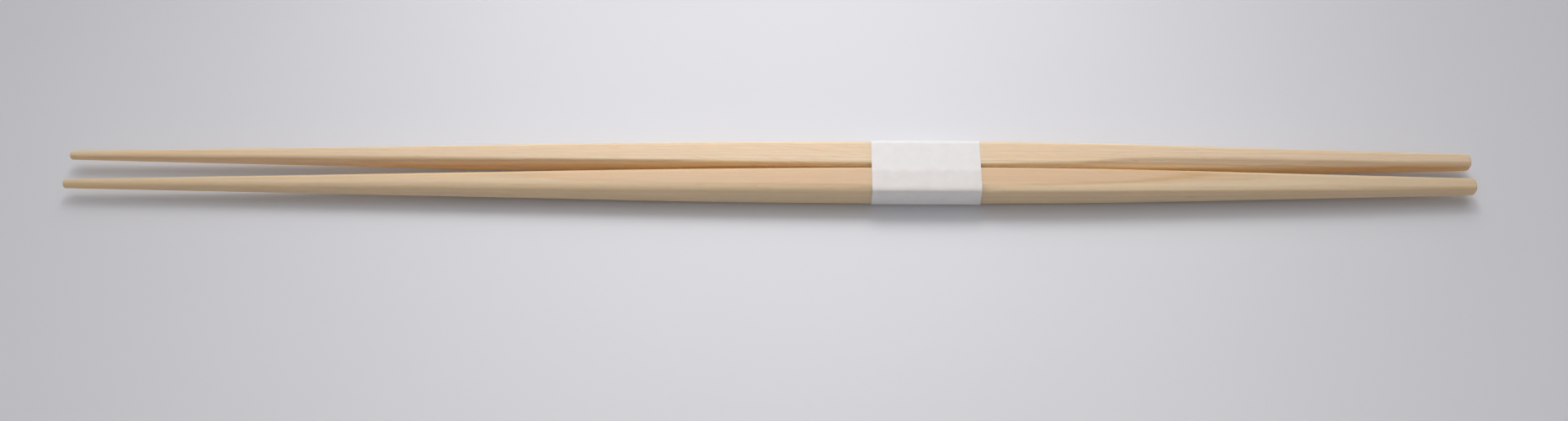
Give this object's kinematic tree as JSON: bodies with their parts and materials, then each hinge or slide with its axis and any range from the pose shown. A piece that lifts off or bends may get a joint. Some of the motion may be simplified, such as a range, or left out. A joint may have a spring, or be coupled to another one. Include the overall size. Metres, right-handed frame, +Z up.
{
  "type": "disposable cedar chopsticks",
  "caption": "Slim cedar chopsticks, thick in the belly and tapered to both ends with bevelled edges, held side by side by a plain paper band.",
  "frame": {"origin": "middle of the length, between the sticks, on the surface the pair lies on", "axes": "+X along the sticks from the eating tips to the butts, +Y from the front stick to the rear one, +Z up"},
  "size_m": [0.24, 0.0106, 0.0053],
  "materials": {
    "cedar": "planed and sanded, unfinished",
    "band_paper": "matt white uncoated paper"
  },
  "bodies": {
    "root": {"front_chopstick": "cedar", "rear_chopstick": "cedar", "paper_band": "band_paper"}
  },
  "joints": []
}
